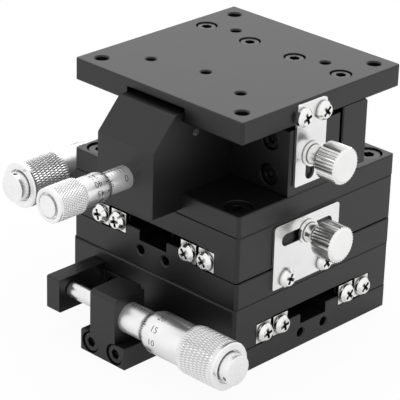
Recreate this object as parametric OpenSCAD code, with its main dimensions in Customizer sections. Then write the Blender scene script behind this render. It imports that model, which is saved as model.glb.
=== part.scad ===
// Three-axis translation stage: two crossed-roller slides turned a quarter to each other,
// and a low vertical slide on top, lifted by a micrometer through a bell crank.
// Millimetres, +Z up. The origin is at the centre of the base plate's underside.

/* [Plates] */
// Side of the square base, tables and top plate
plate_w = 60; // [58:1:70]
// Chamfer on the plates' upright corners
corner_c = 0.8; // [0.4:0.1:1.5]
// Chamfer along the plates' level edges
edge_c = 0.3; // [0.1:0.1:0.5]
// Thickness of the top plate
top_h = 6; // [5.5:0.5:7]
// Thickness of the vertical slide's base plate
z_base_h = 6; // [5.5:0.5:8]
// Distance of the outer hole square from the plates' sides
hole_edge = 5; // [5:0.5:7]
// Distance of the top plate's inner hole square from its sides
hole_edge_in = 14; // [12:0.5:15]
// Distance of the top plate's outermost screws from its sides
screw_edge = 6; // [5.5:0.5:8]
// Depth of the mounting threads
mount_depth = 5; // [4:0.5:5.5]

/* [Horizontal slides] */
// Thickness of the bottom flange
flange_h = 6.5; // [6.2:0.1:8]
// Thickness of the flange between the two slides
mid_flange_h = 7.3; // [7:0.1:9]
// Thickness of a table's web above its rails
web_h = 6.1; // [5:0.1:8]
// Gap between a flange and the legs that travel over it
seam = 0.3; // [0.2:0.05:0.5]
// Thickness of a table's legs outside its rails
leg_t = 8; // [7:0.5:9]
// Height of the centre block above the rail seat
block_rise = 2.8; // [2:0.2:3]
// Travel from the photographed pose, each way
xy_travel = 6.5; // [4:0.5:6.5]
// How far a table stands out on its drive side
table_proud = 0.4; // [0.2:0.1:0.6]
// How far a table is set back behind its clamp plate
clamp_relief = 0.1; // [0.05:0.05:0.2]

/* [Rails] */
// Height of a rail
rail_h = 6; // [5.5:0.25:7]
// Width of a rail
rail_w = 5.6; // [5:0.2:5.8]
// Gap between an inner and an outer rail
rail_gap = 0.8; // [0.6:0.1:1]
// Diameter of the crossed rollers
roller_d = 2; // [1.6:0.1:2.2]
// Distance from roller to roller
roller_pitch = 5; // [4:0.5:6]
// Rollers in each horizontal cage
roller_n = 9; // [5:1:9]
// Rollers in each vertical cage
z_roller_n = 4; // [3:1:4]
// Distance from roller to roller in a vertical cage
z_roller_pitch = 2.8; // [2.6:0.1:3]
// Thickness of a cage strip
cage_t = 0.4; // [0.3:0.05:0.45]
// Thickness of the end stops
stop_t = 1.4; // [1:0.1:2]
// Width of the end stops
stop_w = 5.3; // [4.8:0.1:5.6]
// Height of the end stops
stop_h = 5.5; // [5:0.1:5.9]

/* [Micrometers of the horizontal slides] */
// Distance of the micrometer's axis from the plate's side
mic_out = 12.5; // [11.5:0.5:16]
// Height of the micrometer's axis above the slide's underside
mic_h = 12.4; // [12:0.1:13]
// How far the Y micrometer sits nearer to the middle than the X one
y_mic_in = 1.8; // [0:0.1:2.4]
// Diameter of the spindle
spindle_d = 4.3; // [4:0.1:5]
// Diameter of the sleeve
sleeve_d = 8.1; // [7:0.1:8.5]
// Sleeve that shows between the bracket and the thimble
sleeve_show = 7.6; // [7.2:0.1:10]
// Diameter of the thimble
thimble_d = 11.3; // [10.8:0.1:12]
// Length of the thimble's marked bevel
bevel_len = 3; // [2:0.5:4]
// Length of the thimble up to its knurled ring
smooth_len = 15.3; // [13:0.1:18]
// Diameter of the knurled ring
knurl_d = 13; // [12.1:0.1:13.1]
// Length of the knurled ring
knurl_len = 12.7; // [10:0.1:14]
// Diameter of the end cap
cap_d = 8; // [7:0.1:9]
// How far the end cap stands out
cap_out = 2.8; // [2:0.1:4]
// Width of the bracket's upright part
bracket_w = 9.2; // [8.8:0.2:10.4]
// Width of the bracket's foot
foot_w = 16; // [15:0.5:20]
// Height of the bracket's foot
foot_h = 6.1; // [6:0.1:6.4]
// Height of the bracket
bracket_h = 18.8; // [18:0.1:20]
// Metal in front of the micrometer's axis
bracket_front = 5.2; // [5:0.1:7]
// Metal behind the micrometer's axis
bracket_back = 5.2; // [4.8:0.1:5.6]
// Gap from the bracket to the anvil arm
arm_gap = 12.6; // [11:0.1:13]
// Thickness of the anvil arm
arm_t = 4.8; // [4:0.1:6]
// Height of the anvil arm
arm_h = 9.5; // [8:0.1:11]
// Thickness of the arm's flange
arm_flange_t = 3; // [2.5:0.1:4]
// Length of the arm's flange along the table
arm_flange_l = 13; // [12:0.5:13.5]
// How far the arm's flange stands out of the table
arm_flange_proud = 0.5; // [0.3:0.1:0.8]

/* [Vertical slide] */
// Metal of the top plate over the housing's notch
notch_web = 2.1; // [1.8:0.1:3]
// Gap over the fixed column
column_gap = 1.2; // [1.2:0.1:1.6]
// Distance of the column's front face from the middle
column_front = 12.2; // [11.8:0.1:13]
// Thickness of the column from front to back
column_t = 18.9; // [18.4:0.1:19.2]
// Gap between the column's legs and the moving plate
z_seam = 1.1; // [0.8:0.1:1.4]
// Thickness of the moving plate
z_plate_t = 9.6; // [9:0.1:11]
// Gap under the moving plate
z_plate_gap = 1.5; // [1.4:0.1:2]
// Thickness of the column's legs outside its rails
z_leg_t = 4; // [4:0.5:5]
// Travel upwards from the photographed pose
z_up = 5.1; // [3:0.1:5.1]
// Travel downwards from the photographed pose
z_down = 0.9; // [0.5:0.1:0.9]

/* [Bell crank] */
// Length of both arms of the bell crank
lever_r = 11.1; // [10.9:0.1:11.4]
// Distance of its push nose in front of the column
lever_clear = 2.1; // [1.9:0.1:2.4]
// Height of the micrometer's axis above the base plate
z_mic_h = 4.4; // [4.3:0.1:4.8]
// Thickness of the arms
lever_t = 3.2; // [2.6:0.1:3.4]
// Width of the arms
lever_w = 6; // [5:0.1:6.6]
// Diameter of the pivot pin
pivot_d = 2; // [1.6:0.1:3]
// Width of the housing
housing_w = 20; // [18:0.5:22]
// How far the housing stands out in front of the plates
housing_out = 10.3; // [9.5:0.1:12]
// Metal of the housing above the pivot
housing_over = 6.3; // [6:0.1:6.6]
// How far the housing hangs in front of the base plate
housing_drop = 4.3; // [3:0.1:5]
// Height of the housing's sloping front corner
slope_h = 8.1; // [6:0.1:9]
// Depth of the housing's sloping front corner
slope_l = 7.4; // [6:0.1:8]
// Diameter of the push post under the top plate
post_d = 6.8; // [6:0.1:7]

/* [Micrometer of the vertical slide] */
// Diameter of its spindle
z_spindle_d = 3.5; // [3:0.1:4]
// Diameter of its sleeve
z_sleeve_d = 6.1; // [5.6:0.1:6.2]
// Sleeve that shows between the housing and the thimble
z_sleeve_show = 7.6; // [6:0.1:9]
// Diameter of its thimble
z_thimble_d = 7.8; // [7.7:0.1:8.2]
// Length of its thimble up to the knurled ring
z_smooth_len = 9; // [8.6:0.1:11]
// Diameter of its knurled ring
z_knurl_d = 9.3; // [8.6:0.1:9.4]
// Length of its knurled ring
z_knurl_len = 9.3; // [8.4:0.1:10]
// Diameter of its end cap
z_cap_d = 5.7; // [5.4:0.1:6.6]
// How far its end cap stands out
z_cap_out = 0.4; // [0.2:0.1:1]

/* [Clamps] */
// Thickness of the clamp plates
clamp_t = 0.8; // [0.6:0.1:1.2]
// Length of a horizontal slide's clamp plate
clamp_l = 24.6; // [24:0.1:28]
// Distance of a horizontal clamp from the slide's middle
clamp_shift = 5; // [4:0.1:6]
// Height of the clamp screw above the slide's underside
clamp_h = 14.1; // [13.8:0.1:14.8]
// Rounding of the clamp plates' upper corners
clamp_r = 1.1; // [0.8:0.1:1.6]
// Rounding of their lower corners
clamp_low_r = 0.5; // [0.3:0.1:1]
// Width of the slots
slot_w = 3.4; // [3.15:0.05:3.8]
// Width of the vertical slide's clamp plate
z_clamp_w = 11; // [10.5:0.1:13]
// Distance of the vertical slide's clamp screw below the top plate
z_clamp_drop = 8.6; // [7.8:0.1:9.1]
// Distance of the vertical clamp in front of the middle
z_clamp_y = 5.2; // [4:0.1:6.4]
// Diameter of the knurled knobs
knob_d = 9.9; // [9:0.1:11]
// Length of the knurled knobs
knob_l = 6.8; // [5:0.1:9]
// Teeth around a knob
knob_teeth = 36; // [24:1:48]
// Depth of the teeth
knob_tooth = 0.35; // [0.2:0.05:0.5]
// Length of the shoulder, collar and neck under a knob
neck_l = 4.9; // [4.2:0.1:6]
// Diameter of the neck
neck_d = 3.8; // [3.4:0.1:4.6]
// Diameter of the collar between shoulder and neck
collar_d = 5.2; // [4.8:0.1:5.8]
// Length of the collar
collar_l = 2.2; // [1.6:0.1:2.8]
// Diameter of the shoulder on the clamp plate
shoulder_d = 6.6; // [6.2:0.1:7.4]
// Thickness of the shoulder
shoulder_t = 0.8; // [0.6:0.1:1.2]

/* [Fasteners] */
// Head diameter of the pan-head screws
pan_d = 5.1; // [4.5:0.1:5.2]
// Head height of the pan-head screws
pan_h = 1.7; // [1.2:0.1:2.2]
// Thread diameter of the pan-head screws
pan_thread = 2.5; // [2:0.1:2.6]
// Width of the pan-head screws' cross recess
cross_w = 0.85; // [0.6:0.05:0.95]
// Length of an M3 screw's thread in its seat
m3_in = 7; // [5:0.5:7]
// Length of an M4 screw's thread in its seat
m4_in = 8; // [6:0.5:8]
// Diameter of the spring pins
pin_d = 2; // [1.5:0.1:2.2]
// Length of a spring pin in its seat
pin_in = 3.8; // [3:0.1:3.8]
// Outer diameter of the return springs
spring_d = 4; // [3.4:0.1:4.4]
// Wire of the return springs
wire_d = 0.5; // [0.4:0.05:0.7]

/* [Hidden] */
$fn = 48;
// Clearances
run_fit = 0.1;      // on the diameter of a running shaft
thimble_fit = 0.15; // between a thimble and its sleeve, on the radius
seat_fit = 0.1;     // on the diameter of a seated thread or pin
touch = 0.05;       // between pieces that push on each other
// Standard sizes: thread, tapped hole, head diameter, head height, hexagon, counterbore
m3 = 3;
m3_tap = 2.7;
m3_head = 5.5;
m3_head_h = 3;
m3_hex = 2.5;
m3_bore = 5.9;
m4 = 4;
m4_tap = 3.5;
m4_head = 7;
m4_head_h = 4;
m4_hex = 3;
m4_bore = 7.6;
// Levels of the horizontal slides, from a slide's own underside
half = plate_w / 2;
hole_sq = plate_w - 2 * hole_edge;
hole_sq_in = plate_w - 2 * hole_edge_in;
seat_z = flange_h + seam;
rail_mid = seat_z + rail_h / 2;
pad_z = seat_z + rail_h;
slide_h = pad_z + seam + web_h;
block_z = seat_z + block_rise;
// Levels of the whole stage
notch_clear = z_down + 0.5;
housing_h = z_mic_h + lever_r + housing_over;
z_lift = housing_h + notch_clear + notch_web - top_h;
y_level = slide_h + mid_flange_h - flange_h;
z_base_z = y_level + slide_h;
column_z = z_base_z + z_base_h;
top_z = column_z + z_lift;
total_h = top_z + top_h;
// Rail places, from the middle
leg_in = half - leg_t;
block_half = leg_in - 2 * rail_w - rail_gap;
notch_w = block_half;
pair_mid = block_half + rail_w + rail_gap / 2;
groove = roller_d / sqrt(2);
rail_l = plate_w - 2 * stop_t;
pan_l = 6;
// Spare threads in the end faces of a slide's base
end_hole_v = 4.5;
end_hole_drop = 2.4;
// Horizontal drive
mic_v = -(half + mic_out);
arm_v = mic_v - bracket_front + 0.7;
tip_u = -bracket_w / 2 - arm_gap;
arm_z = seat_z - 0.1;
flange_top = 14;
arm_screw_u = [tip_u + 3.5, tip_u + 9.5];
arm_screw_sink = 1.7;
table_lo = -(half + table_proud);
table_hi = half - clamp_relief;
bracket_screw_u = [-1, 1] * (foot_w / 2 - m3_bore / 2 - 0.55);
bracket_screw_z = foot_h / 2 + 0.25;
thimble_u = bracket_w / 2 + sleeve_show;
thimble_l = smooth_len + knurl_len;
thimble_bore = sleeve_d + 2 * thimble_fit;
thimble_lip = 0.25;
// Vertical slide, as distances along Y
column_back = column_t - column_front;
plate_front = column_back + z_seam;
z_block_rise = block_rise + seam;
z_web_w = 2 * seam + rail_h;
z_leg_in = half - z_leg_t;
z_block_half = z_leg_in - 2 * rail_w - rail_gap;
z_pair_mid = z_block_half + rail_w + rail_gap / 2;
z_rail_mid = seam + rail_h / 2;
column_half = half - 0.2;
column_h = z_lift - column_gap;
top_screw_back = 5.2;
top_screw_y = plate_front + top_screw_back;
top_screw_x = [-1, -1 / 3, 1 / 3, 1] * (half - screw_edge);
column_screw_x = z_leg_in - rail_w / 2;
column_screw_in = 4;
column_screw_z = [column_z + column_screw_in + 0.4, column_z + column_h - column_screw_in];
// Bell crank: its arms are square to the travel at mid travel
pivot_y = -column_front - lever_clear - lever_r;
z_mic_z = column_z + z_mic_h;
pivot_z = z_mic_z + lever_r;
lever_turn = -(z_up - z_down) / 2 / lever_r * 180 / PI;
nose_r = lever_t / 2;
foot_nose = [pivot_y + lever_r * sin(lever_turn), pivot_z - lever_r * cos(lever_turn)];
push_nose = [pivot_y + lever_r * cos(lever_turn), pivot_z + lever_r * sin(lever_turn)];
hub_d = 7;
hub_w = 7.2;
post_y = pivot_y + lever_r + 2.3;
post_z = push_nose[1] + nose_r + touch;
housing_front = -(half + housing_out);
housing_z = column_z + housing_h;
cavity_half = post_d / 2 + 0.4;
cavity_front = foot_nose[0] - nose_r - z_down - 1.5;
cavity_roof = housing_z - 1.8;
notch_z = housing_z + notch_clear;
z_tip_y = foot_nose[0] - nose_r - touch;
z_thimble_u = -housing_front + z_sleeve_show;
z_thimble_l = z_smooth_len + z_knurl_len;
// Thimbles: thickness of the end wall and depth of the cap's recess
end_wall = 4;
cap_recess = 1;
sleeve_gap = 0.6;
// Clamps
clamp_screw_u = [clamp_shift - 6.8, clamp_shift + 7.4];
clamp_screw_z = flange_h - 3.2;
clamp_low = 0.9;
clamp_top = slide_h - 0.5;
slot_l = 2 * xy_travel + m3 + 3.2;
z_slot_l = z_up + z_down + m3 + 1;
z_clamp_h = z_lift - z_clamp_drop;
z_slot_z = column_z + z_clamp_h - (z_up - z_down) / 2;
thumb_l = 8;
clamp_screw_y = [-z_clamp_y - 3.7, -z_clamp_y + 3.7];
z_clamp_screw_z = top_z + top_h / 2 - 0.9;
z_clamp_top = total_h - 0.5;
// Springs
spring_in = 8;
z_pin_in = 3;
spring_out = -12;
base_pin_u = half - spring_in;
table_pin_u = -half - spring_out;
spring_z = (seat_z + pad_z + seam) / 2;
z_pin_low = column_z + z_pin_in;
z_pin_high = top_z - z_pin_in - z_plate_gap - 0.5;

// Finishes
black = [0.16, 0.16, 0.17];
steel = [0.72, 0.73, 0.75];
bright = [0.86, 0.86, 0.87];
oxide = [0.12, 0.12, 0.13];
chrome = [0.8, 0.81, 0.83];
bronze = [0.7, 0.55, 0.3];

// Outline helpers

function mirrored(half_outline) = concat(
    half_outline,
    [for (i = [len(half_outline) - 1 : -1 : 0]) [-half_outline[i][0], half_outline[i][1]]]
);

// Rectangle with chamfered corners, from lo to hi
module chamfered(lo, hi, c) {
    polygon([
        [lo[0] + c, lo[1]], [hi[0] - c, lo[1]], [hi[0], lo[1] + c], [hi[0], hi[1] - c],
        [hi[0] - c, hi[1]], [lo[0] + c, hi[1]], [lo[0], hi[1] - c], [lo[0], lo[1] + c]
    ]);
}

// Outline in Y and Z, drawn out along X
module along_x(x0, x1) {
    translate([x0, 0, 0]) rotate([90, 0, 90]) linear_extrude(x1 - x0) children();
}

// Outline in X and Z, drawn out along Y
module along_y(y0, y1) {
    translate([0, y1, 0]) rotate([90, 0, 0]) linear_extrude(y1 - y0) children();
}

// Block from lo to hi with chamfered corners and edges
module plate_block(lo, hi) {
    intersection() {
        translate([0, 0, lo[2]])
            linear_extrude(hi[2] - lo[2]) chamfered([lo[0], lo[1]], [hi[0], hi[1]], corner_c);
        along_x(lo[0], hi[0]) chamfered([lo[1], lo[2]], [hi[1], hi[2]], edge_c);
        along_y(lo[1], hi[1]) chamfered([lo[0], lo[2]], [hi[0], hi[2]], edge_c);
    }
}

// Hole down from the origin with a small countersink at its mouth
module tapped(d, depth, mouth = 0.35) {
    translate([0, 0, -depth]) cylinder(d = d, h = depth + 0.01);
    translate([0, 0, -mouth]) cylinder(d1 = d, d2 = d + 2 * mouth + 0.02, h = mouth + 0.01);
}

// Counterbored hole down from the origin
module counterbored(d, depth, bore_d, bore_depth) {
    translate([0, 0, -depth]) cylinder(d = d, h = depth + 0.01);
    translate([0, 0, -bore_depth]) cylinder(d = bore_d, h = bore_depth + 0.01);
}

module at_square(side) {
    for (x = [-1, 1], y = [-1, 1]) translate([x * side / 2, y * side / 2, 0]) children();
}

// The Y slide is the X slide turned a quarter and raised
module as_y() {
    translate([0, 0, y_level]) rotate([0, 0, -90]) children();
}

// The Y slide's micrometer, with all that it is fixed to, sits further in
module as_y_drive() {
    as_y() translate([-y_mic_in, 0, 0]) children();
}

// The vertical slide's own frame: u up, w from the moving plate's front face towards the front
module as_z() {
    translate([0, plate_front, 0]) rotate([0, -90, 90]) children();
}

// Fasteners, seated on the origin's plane with the head on the +Z side

module cap_screw(d, head_d, head_h, hex, l) {
    difference() {
        union() {
            translate([0, 0, -l]) cylinder(d = d, h = l + 0.1);
            cylinder(d = head_d, h = head_h - 0.3);
            translate([0, 0, head_h - 0.3]) cylinder(d1 = head_d, d2 = head_d - 0.6, h = 0.3);
        }
        translate([0, 0, head_h / 2]) cylinder(d = hex / cos(30), h = head_h, $fn = 6);
    }
}

module pan_screw(l, turn = 0) {
    edge = pan_h * 0.5;
    cross = 0.3 * pan_d;
    difference() {
        union() {
            translate([0, 0, -l]) cylinder(d = pan_thread, h = l + 0.1);
            cylinder(d = pan_d, h = edge);
            translate([0, 0, edge]) cylinder(d1 = pan_d, d2 = pan_d * 0.72, h = pan_h - edge);
        }
        for (a = [0, 90])
            rotate(turn + a) translate([-cross, -cross_w / 2, pan_h * 0.35])
                cube([2 * cross, cross_w, pan_h]);
    }
}

module m3_screw(l) {
    cap_screw(m3, m3_head, m3_head_h, m3_hex, l);
}

// A slide's base: flange, rail seat and notched centre block, drawn out along the travel
module slide_base(under) {
    intersection() {
        along_x(-half, half) polygon(mirrored([
            [0, -under], [half - edge_c, -under], [half, -under + edge_c],
            [half, flange_h - edge_c], [half - edge_c, flange_h], [pair_mid, flange_h],
            [pair_mid, seat_z], [block_half, seat_z], [block_half, block_z],
            [notch_w / 2, block_z], [notch_w / 2, seat_z], [0, seat_z]
        ]));
        translate([0, 0, -under])
            linear_extrude(block_z + under) chamfered([-half, -half], [half, half], corner_c);
        along_y(-half, half) chamfered([-half, -under], [half, block_z], edge_c);
    }
}

// What every slide's base is drilled for
module slide_base_holes() {
    // Spare threads in the end faces
    for (s = [-1, 1], v = [-end_hole_v, end_hole_v])
        translate([s * half, v, flange_h - end_hole_drop]) rotate([0, s * 90, 0]) tapped(2.5, 5);
    // Clamp plate screws
    for (u = clamp_screw_u)
        translate([u, half, clamp_screw_z])
            rotate([-90, 0, 0]) tapped(pan_thread + seat_fit, pan_l);
    // Spring pin
    translate([base_pin_u, 0, seat_z]) tapped(pin_d + seat_fit, pin_in + 0.2);
}

// Threads of the bracket's screws
module drive_base_holes() {
    for (u = bracket_screw_u)
        translate([u, -half, bracket_screw_z]) rotate([90, 0, 0]) tapped(m3 + seat_fit, m3_in + 1);
}

// A slide's table: web and legs, from v = lo to v = hi across the travel
module slide_table(lo, hi) {
    intersection() {
        union() {
            along_x(-half, half) polygon([
                [0, pad_z + seam], [pair_mid, pad_z + seam], [pair_mid, pad_z], [leg_in, pad_z],
                [leg_in, seat_z], [hi - edge_c, seat_z], [hi, seat_z + edge_c],
                [hi, slide_h - edge_c], [hi - edge_c, slide_h], [0, slide_h]
            ]);
            along_x(-half, half) polygon([
                [0, pad_z + seam], [-pair_mid, pad_z + seam], [-pair_mid, pad_z],
                [-leg_in, pad_z], [-leg_in, seat_z], [lo + edge_c, seat_z], [lo, seat_z + edge_c],
                [lo, slide_h - edge_c], [lo + edge_c, slide_h], [0, slide_h]
            ]);
        }
        translate([0, 0, seat_z])
            linear_extrude(slide_h - seat_z) chamfered([-half, lo], [half, hi], corner_c);
    }
}

module slide_table_holes() {
    // Clamp screw
    translate([clamp_shift, half, clamp_h])
        rotate([-90, 0, 0]) tapped(m3 + run_fit, thumb_l + 1);
    // Spring pin
    translate([table_pin_u, 0, pad_z + seam - 0.01]) cylinder(d = pin_d + seat_fit, h = 3.5);
}

// Pocket and threads for the anvil arm's flange
module drive_table_holes() {
    translate([tip_u - arm_t, table_lo - 0.01, arm_z - 0.01])
        cube([arm_t + arm_flange_l, arm_flange_t - arm_flange_proud + 0.01, flange_top - arm_z + 0.01]);
    for (u = arm_screw_u)
        translate([u, table_lo, (arm_z + flange_top) / 2])
            rotate([90, 0, 0]) tapped(pan_thread + seat_fit, 8);
}

// Rails: a groove of 90 degrees along the side that faces the other rail

module rail_outline(side) {
    // side 1: groove at the far side from the middle, as on an inner rail
    c = 0.3;
    polygon([
        [-side * rail_w / 2, -rail_h / 2 + c], [-side * (rail_w / 2 - c), -rail_h / 2],
        [side * (rail_w / 2 - c), -rail_h / 2], [side * rail_w / 2, -rail_h / 2 + c],
        [side * rail_w / 2, rail_gap / 2 - groove],
        [side * ((rail_w + rail_gap) / 2 - groove), 0],
        [side * rail_w / 2, groove - rail_gap / 2],
        [side * rail_w / 2, rail_h / 2 - c], [side * (rail_w / 2 - c), rail_h / 2],
        [-side * (rail_w / 2 - c), rail_h / 2], [-side * rail_w / 2, rail_h / 2 - c]
    ]);
}

// Rail pair on both sides of the middle, with tapped ends for the stops
module rails(mid, centre, w, l, side, end_holes) {
    for (s = [-1, 1])
        difference() {
            translate([0, s * centre, w]) along_x(mid - l / 2, mid + l / 2) rail_outline(s * side);
            if (end_holes)
                for (e = [-1, 1])
                    translate([mid + e * l / 2, s * centre, w])
                        rotate([0, e * 90, 0]) tapped(pan_thread + seat_fit, pan_l - stop_t + 0.5, 0.1);
        }
}

module inner_rails() {
    color(steel) rails(0, block_half + rail_w / 2, rail_mid, rail_l, 1, true);
}

module outer_rails() {
    color(steel) rails(0, leg_in - rail_w / 2, rail_mid, rail_l, -1, true);
}

// Cage strips with their rollers, each roller crossed with the next
module roller_cages(mid, centre, w, n, pitch) {
    roller_l = roller_d * 0.9;
    window_l = roller_d + 0.2;
    window_h = groove * 2 + 0.2;
    strip_l = (n - 1) * pitch + roller_d + 1.2;
    for (s = [-1, 1])
        translate([mid, s * centre, w]) {
            difference() {
                translate([-strip_l / 2, -cage_t / 2, -groove - 1])
                    cube([strip_l, cage_t, 2 * groove + 2]);
                for (i = [0 : n - 1])
                    translate([(i - (n - 1) / 2) * pitch - window_l / 2, -cage_t, -window_h / 2])
                        cube([window_l, 2 * cage_t, window_h]);
            }
            for (i = [0 : n - 1])
                translate([(i - (n - 1) / 2) * pitch, 0, 0])
                    rotate([i % 2 == 0 ? 45 : -45, 0, 0])
                        cylinder(d = roller_d - touch, h = roller_l, center = true);
        }
}

module end_stops(centre) {
    for (s = [-1, 1], e = [-1, 1])
        translate([e * (half - stop_t / 2), s * centre, rail_mid])
            difference() {
                cube([stop_t, stop_w, stop_h], center = true);
                rotate([0, 90, 0]) cylinder(d = pan_thread + 0.3, h = stop_t + 1, center = true);
            }
}

module inner_stops() {
    color(steel) end_stops(block_half + rail_w / 2);
}

module outer_stops() {
    color(steel) end_stops(leg_in - rail_w / 2);
}

module stop_screws(centre) {
    for (s = [-1, 1], e = [-1, 1])
        translate([e * half, s * centre, rail_mid]) rotate([0, e * 90, 0]) pan_screw(pan_l, 28 + 14 * s * e);
}

// Pan screws that stay with a slide's base: inner stops and clamp plate
module base_pan_screws() {
    stop_screws(block_half + rail_w / 2);
    for (i = [0, 1])
        translate([clamp_screw_u[i], half + clamp_t, clamp_screw_z])
            rotate([-90, 0, 0]) pan_screw(pan_l, 30 + 35 * i);
}

// Micrometer bracket on the slide's drive side
module bracket() {
    front = mic_v - bracket_front;
    back = mic_v + bracket_back;
    c = 0.9;
    color(black) difference() {
        union() {
            along_x(-foot_w / 2, foot_w / 2) chamfered([front, 0], [-half, foot_h], edge_c);
            along_x(-bracket_w / 2, bracket_w / 2) polygon([
                [front, edge_c], [front, bracket_h - c], [front + c, bracket_h],
                [back - edge_c, bracket_h], [back, bracket_h - edge_c], [back, edge_c]
            ]);
        }
        // Seat of the sleeve and its set screw
        translate([-foot_w, mic_v, mic_h]) rotate([0, 90, 0]) cylinder(d = sleeve_d, h = 2 * foot_w);
        translate([0, back, mic_h]) rotate([-90, 0, 0]) tapped(2.5, bracket_back);
        // Counterbored screws into the slide's base
        for (u = bracket_screw_u)
            translate([u, front, bracket_screw_z])
                rotate([90, 0, 0]) counterbored(m3 + 0.2, -half - front + 1, m3_bore, m3_head_h + 0.4);
    }
}

module bracket_screws() {
    front = mic_v - bracket_front;
    for (u = bracket_screw_u)
        translate([u, front + m3_head_h + 0.4, bracket_screw_z])
            rotate([90, 0, 0]) m3_screw(-half - front - m3_head_h - 0.4 + m3_in);
}

// Anvil arm: a bar with a flange let into the table's side
module anvil() {
    color(black) difference() {
        union() {
            translate([tip_u - arm_t, arm_v, arm_z]) along_x(0, arm_t)
                chamfered([0, 0], [table_lo - arm_v, arm_h], edge_c);
            translate([tip_u - arm_t, table_lo - arm_flange_proud, arm_z])
                cube([arm_t + arm_flange_l, arm_flange_t, flange_top - arm_z]);
        }
        for (u = arm_screw_u)
            translate([u, table_lo - arm_flange_proud, (arm_z + flange_top) / 2])
                rotate([90, 0, 0]) counterbored(pan_thread + 0.2, 8, pan_d + 0.3, arm_screw_sink);
    }
}

module sleeve_tube(d, bore, u0, u1) {
    translate([u0, 0, 0]) rotate([0, 90, 0])
        rotate_extrude() polygon([
            [bore / 2, 0], [d / 2, 0], [d / 2, u1 - u0 - 0.3], [d / 2 - 0.3, u1 - u0],
            [bore / 2, u1 - u0]
        ]);
}

// Spindle from its tip to its end in the thimble's end wall
module spindle_rod(d, u0, u1) {
    translate([u0, 0, 0]) rotate([0, 90, 0])
        rotate_extrude() polygon([
            [0, 0], [d / 2 - 0.3, 0], [d / 2, 0.3], [d / 2, u1 - u0], [0, u1 - u0]
        ]);
}

// Thimble: marked bevel, smooth barrel, knurled ring and end wall with a recess for the cap
module thimble_body(bore, wall, barrel_d, bevel, smooth, ring_d, ring_l, recess_d, shaft) {
    l = smooth + ring_l;
    rotate([0, 90, 0])
        rotate_extrude() polygon([
            [bore / 2, 0], [bore / 2 + wall, 0], [barrel_d / 2, bevel],
            [barrel_d / 2, smooth - 0.4], [barrel_d / 2 - 0.3, smooth - 0.3],
            [barrel_d / 2 - 0.3, smooth], [ring_d / 2 - 0.3, smooth], [ring_d / 2, smooth + 0.3],
            [ring_d / 2, l - 0.3], [ring_d / 2 - 0.3, l],
            [recess_d / 2, l], [recess_d / 2, l - cap_recess], [shaft / 2, l - cap_recess],
            [shaft / 2, l - cap_recess - end_wall], [bore / 2, l - cap_recess - end_wall]
        ]);
}

// End cap with a hole in its side for a pin
module end_cap(d, out, l, turn = 0) {
    h = cap_recess + out;
    dome = min(out * 0.4, 0.25);
    translate([l - cap_recess, 0, 0]) difference() {
        rotate([0, 90, 0])
            rotate_extrude() polygon([
                [0, 0], [d / 2, 0], [d / 2, h - dome], [d / 2 - dome, h - dome * 0.3],
                [d / 4, h], [0, h]
            ]);
        if (out > 1.5)
            rotate([turn, 0, 0]) translate([cap_recess + 1.8, 0, 0]) cylinder(d = 1.2, h = d);
    }
}

module mic_axis() {
    translate([0, mic_v, mic_h]) children();
}

module sleeve() {
    end = thimble_u + thimble_l - cap_recess - end_wall - xy_travel - sleeve_gap;
    color(chrome) mic_axis() sleeve_tube(sleeve_d, spindle_d + run_fit, -bracket_w / 2, end);
}

module spindle() {
    color(chrome) mic_axis()
        spindle_rod(spindle_d, tip_u + touch, thimble_u + thimble_l - cap_recess - 0.1);
}

module thimble() {
    color(chrome) mic_axis() translate([thimble_u, 0, 0])
        thimble_body(thimble_bore, thimble_lip, thimble_d, bevel_len, smooth_len, knurl_d, knurl_len,
            cap_d + 0.8, spindle_d + run_fit);
}

module cap(turn) {
    color(chrome) mic_axis() translate([thimble_u, 0, 0]) end_cap(cap_d, cap_out, thimble_l, turn);
}

// Clamp plate's outline, with its upper corners rounder than its lower ones
module clamp_outline(lo, hi) {
    translate([lo[0], lo[1] + clamp_low_r])
        square([hi[0] - lo[0], hi[1] - lo[1] - clamp_low_r - clamp_r]);
    translate([lo[0] + clamp_low_r, lo[1]])
        square([hi[0] - lo[0] - 2 * clamp_low_r, clamp_low_r + 0.1]);
    translate([lo[0] + clamp_r, hi[1] - clamp_r - 0.1])
        square([hi[0] - lo[0] - 2 * clamp_r, clamp_r + 0.1]);
    for (x = [lo[0] + clamp_low_r, hi[0] - clamp_low_r])
        translate([x, lo[1] + clamp_low_r]) circle(clamp_low_r);
    for (x = [lo[0] + clamp_r, hi[0] - clamp_r])
        translate([x, hi[1] - clamp_r]) circle(clamp_r);
}

// Clamp plate: fixed low on the slide's base, slotted for the screw in the table
module clamp_plate() {
    color(bright) difference() {
        along_y(half, half + clamp_t)
            clamp_outline(
                [clamp_shift - clamp_l / 2, clamp_low], [clamp_shift + clamp_l / 2, clamp_top]
            );
        translate([0, 0, clamp_h]) along_y(half - 1, half + clamp_t + 1) {
            translate([clamp_shift - slot_l / 2 + slot_w / 2, -slot_w / 2])
                square([slot_l - slot_w, slot_w]);
            for (s = [-1, 1])
                translate([clamp_shift + s * (slot_l - slot_w) / 2, 0]) circle(d = slot_w);
        }
        for (u = clamp_screw_u)
            translate([u, half + clamp_t + 1, clamp_screw_z])
                rotate([90, 0, 0]) cylinder(d = pan_thread + 0.3, h = clamp_t + 2);
    }
}

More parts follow.
